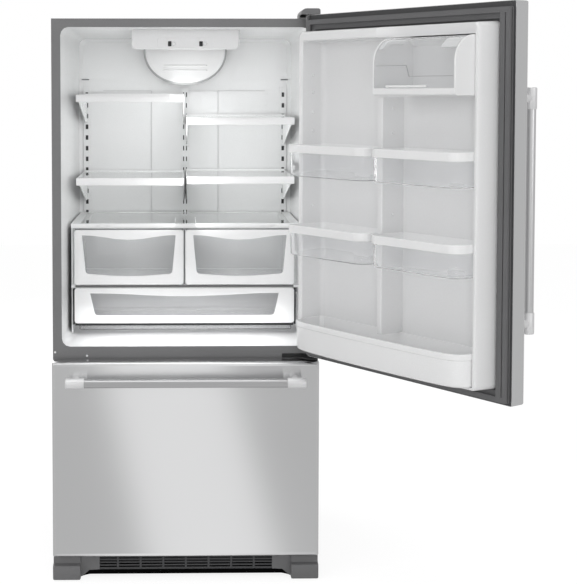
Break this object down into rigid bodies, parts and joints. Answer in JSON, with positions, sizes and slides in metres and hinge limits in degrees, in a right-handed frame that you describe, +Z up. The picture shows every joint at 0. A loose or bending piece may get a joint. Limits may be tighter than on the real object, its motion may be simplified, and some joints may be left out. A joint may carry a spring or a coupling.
{
  "type": "bottom-freezer refrigerator",
  "caption": "Free-standing bottom-freezer refrigerator: right-hinged door with bins and dairy box, glass shelves, crispers, deli drawer, sliding freezer drawer with baskets.",
  "frame": {"origin": "centre of the sole of the front-left levelling leg, on the floor", "axes": "+Z up, -Y out of the front, +X to the right seen from the front; the rest pose has the upper door open 124.4 degrees"},
  "size_m": [1.3366, 1.4612, 1.775],
  "materials": {
    "case_paint": "grey textured paint",
    "steel": "fine vertical brush",
    "handle_steel": "satin, polished end caps",
    "liner_white": "smooth moulded",
    "foam": "foamed in place",
    "trim_white": "moulded",
    "ladder_paint": "white enamel",
    "clear_plastic": "clear moulded polystyrene",
    "shelf_glass": "tempered",
    "gasket_grey": "soft extruded",
    "hinge_cover_grey": "textured",
    "zinc": "zinc plated",
    "black_plate": "black enamel",
    "grille_dark": "textured",
    "frame_dark": "black primer",
    "rubber_black": "moulded"
  },
  "bodies": {
    "cabinet": {"cabinet_wrapper": "case_paint", "fridge_liner": "liner_white", "freezer_liner": "liner_white", "cabinet_foam": "foam", "back_panel": "case_paint", "top_hinge": "zinc", "top_hinge_cover": "hinge_cover_grey", "centre_hinge": "black_plate", "control_housing": "liner_white", "light_shield": "trim_white", "ladder_left": "ladder_paint", "ladder_right": "ladder_paint", "ladder_centre": "ladder_paint", "shelf_frame_left_upper": "trim_white", "shelf_glass_left_upper": "shelf_glass", "shelf_frame_right_upper": "trim_white", "shelf_glass_right_upper": "shelf_glass", "shelf_frame_left_lower": "trim_white", "shelf_glass_left_lower": "shelf_glass", "shelf_frame_right_lower": "trim_white", "shelf_glass_right_lower": "shelf_glass", "crisper_rack": "trim_white", "crisper_cover_glass": "shelf_glass", "base_frame": "frame_dark", "leg_left": "rubber_black", "leg_right": "rubber_black", "foot_cover_left": "hinge_cover_grey", "foot_cover_right": "hinge_cover_grey", "base_grille": "grille_dark"},
    "fridge_door": {"door_panel": "steel", "door_liner": "liner_white", "door_gasket": "gasket_grey", "door_handle": "handle_steel", "door_bin_upper_hinge": "clear_plastic", "door_bin_upper_handle": "clear_plastic", "door_bin_lower_hinge": "clear_plastic", "door_bin_lower_handle": "clear_plastic", "door_bin_gallon": "trim_white", "dairy_case": "trim_white"},
    "dairy_lid": {"dairy_lid": "clear_plastic"},
    "freezer_drawer": {"freezer_panel": "steel", "freezer_panel_liner": "liner_white", "freezer_gasket": "gasket_grey", "freezer_handle": "handle_steel", "drawer_frame": "zinc", "freezer_basket_lower": "trim_white"},
    "upper_basket": {"freezer_basket_upper": "trim_white"},
    "crisper_left": {"crisper_front_left": "trim_white", "crisper_bin_left": "clear_plastic"},
    "crisper_right": {"crisper_front_right": "trim_white", "crisper_bin_right": "clear_plastic"},
    "deli_drawer": {"deli_front": "trim_white", "deli_bin": "clear_plastic"},
    "humidity_slide_left": {"humidity_slide_left": "trim_white"},
    "humidity_slide_right": {"humidity_slide_right": "trim_white"},
    "deli_slide": {"deli_slide": "trim_white"},
    "temperature_key_left": {"temperature_key_left": "trim_white"},
    "temperature_key_right": {"temperature_key_right": "trim_white"},
    "roller_left": {"roller_left": "rubber_black"},
    "roller_right": {"roller_right": "rubber_black"}
  },
  "joints": [
    {"name": "fridge_door_hinge", "type": "hinge", "parent": "cabinet", "child": "fridge_door", "pos_m": [0.7936, -0.0682, 1.2], "axis": [0, 0, 1], "range_deg": [-124.4, 5.6]},
    {"name": "dairy_lid_hinge", "type": "hinge", "parent": "fridge_door", "child": "dairy_lid", "pos_m": [1.03763, -0.55593, 1.66], "axis": [-0.565, 0.8251, 0], "range_deg": [0, 75]},
    {"name": "freezer_drawer_slide", "type": "slide", "parent": "cabinet", "child": "freezer_drawer", "axis": [0, -1, 0], "range_m": [0, 0.4]},
    {"name": "upper_basket_slide", "type": "slide", "parent": "freezer_drawer", "child": "upper_basket", "axis": [0, 1, 0], "range_m": [0, 0.1]},
    {"name": "crisper_left_slide", "type": "slide", "parent": "cabinet", "child": "crisper_left", "axis": [0, -1, 0], "range_m": [0, 0.28]},
    {"name": "crisper_right_slide", "type": "slide", "parent": "cabinet", "child": "crisper_right", "axis": [0, -1, 0], "range_m": [0, 0.28]},
    {"name": "deli_drawer_slide", "type": "slide", "parent": "cabinet", "child": "deli_drawer", "axis": [0, -1, 0], "range_m": [0, 0.28]},
    {"name": "humidity_left_slide", "type": "slide", "parent": "cabinet", "child": "humidity_slide_left", "axis": [1, 0, 0], "range_m": [-0.012, 0.012]},
    {"name": "humidity_right_slide", "type": "slide", "parent": "cabinet", "child": "humidity_slide_right", "axis": [1, 0, 0], "range_m": [-0.012, 0.012]},
    {"name": "deli_control_slide", "type": "slide", "parent": "cabinet", "child": "deli_slide", "axis": [1, 0, 0], "range_m": [-0.012, 0.012]},
    {"name": "temperature_key_left_press", "type": "slide", "parent": "cabinet", "child": "temperature_key_left", "axis": [0, 1, 0], "range_m": [0, 0.0012], "stiffness_N_per_m": 600},
    {"name": "temperature_key_right_press", "type": "slide", "parent": "cabinet", "child": "temperature_key_right", "axis": [0, 1, 0], "range_m": [0, 0.0012], "stiffness_N_per_m": 600},
    {"name": "roller_left_spin", "type": "hinge", "parent": "cabinet", "child": "roller_left", "pos_m": [0.0355, 0.61, 0.02], "axis": [1, 0, 0], "continuous": true},
    {"name": "roller_right_spin", "type": "hinge", "parent": "cabinet", "child": "roller_right", "pos_m": [0.7485, 0.61, 0.02], "axis": [1, 0, 0], "continuous": true}
  ]
}
